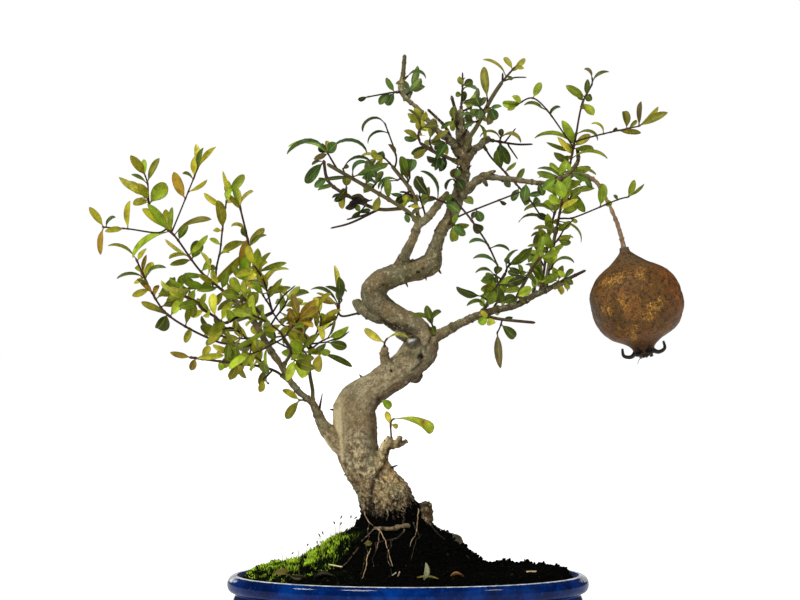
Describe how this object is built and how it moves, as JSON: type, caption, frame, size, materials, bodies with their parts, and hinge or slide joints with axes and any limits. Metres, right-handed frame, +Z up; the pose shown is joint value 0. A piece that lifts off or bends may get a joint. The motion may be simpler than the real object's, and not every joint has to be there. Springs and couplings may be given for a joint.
{
  "type": "pomegranate bonsai",
  "caption": "Dwarf pomegranate bonsai with a curved old trunk, sparse small leaves and a ripe hanging fruit, on mossy soil in an oval blue glazed pot.",
  "frame": {"origin": "centre of the pot's flat base, on the surface that it stands on", "axes": "+Z up, +X to the side where the fruit hangs, +Y to the back, along the pot's short axis"},
  "size_m": [0.3492, 0.152, 0.3801],
  "materials": {
    "glaze": "gloss cobalt-blue glaze with a pale worn lip",
    "soil": "moist dark granular potting soil",
    "moss": "soft bright green moss",
    "bark": "rough grey-tan bark, smoother and redder on young twigs",
    "rind": "dry brown speckled rind",
    "leaf": "satin yellow-green leaves",
    "crown_leaf": "satin dark green leaves",
    "dry_leaf": "dry olive-brown leaf"
  },
  "bodies": {
    "root": {"pot": "glaze", "soil": "soil", "moss": "moss", "trunk": "bark", "fruit": "rind", "fallen_leaf_1": "dry_leaf", "fallen_leaf_2": "dry_leaf", "fallen_leaf_3": "dry_leaf", "spray_left_tip": "leaf", "spray_left_inner": "leaf", "spray_left_rising": "leaf", "spray_left_rise": "leaf", "spray_left_front": "leaf", "spray_left_back": "leaf", "spray_left_side": "leaf", "spray_left_low": "leaf", "spray_left_underleaves": "leaf", "spray_left_fork": "leaf", "spray_bend": "leaf", "spray_knob_leaf": "leaf", "spray_trunk_leaf": "leaf", "spray_stump_leaves": "leaf", "spray_crown_left": "crown_leaf", "spray_crown_rise": "crown_leaf", "spray_head_low": "crown_leaf", "spray_head_long_leaf": "crown_leaf", "spray_head_pale_leaves": "crown_leaf", "spray_head_arched_leaf": "crown_leaf", "spray_head_left_leaves": "crown_leaf", "spray_head_left_back": "crown_leaf", "spray_middle_tip": "crown_leaf", "spray_middle_low": "crown_leaf", "spray_middle_back": "crown_leaf", "spray_head_back": "crown_leaf", "spray_head_right": "crown_leaf", "spray_bare_right": "crown_leaf", "spray_middle_cross": "crown_leaf", "spray_lower_cross": "crown_leaf", "spray_long_cross": "crown_leaf", "spray_trunk_front_a": "crown_leaf", "spray_trunk_front_b": "crown_leaf", "spray_trunk_front_c": "crown_leaf", "spray_trunk_front_d": "crown_leaf", "spray_trunk_back": "crown_leaf", "spray_upper_left_back": "crown_leaf", "spray_right_tall": "leaf", "spray_right_second": "leaf", "spray_right_axil": "leaf", "spray_right_end_front": "leaf", "spray_right_end_back": "leaf", "spray_right_rise": "leaf", "spray_right_middle": "leaf", "spray_right_cut": "leaf", "spray_right_back_a": "leaf", "spray_right_back_b": "leaf", "spray_turn_front": "leaf"}
  },
  "joints": []
}
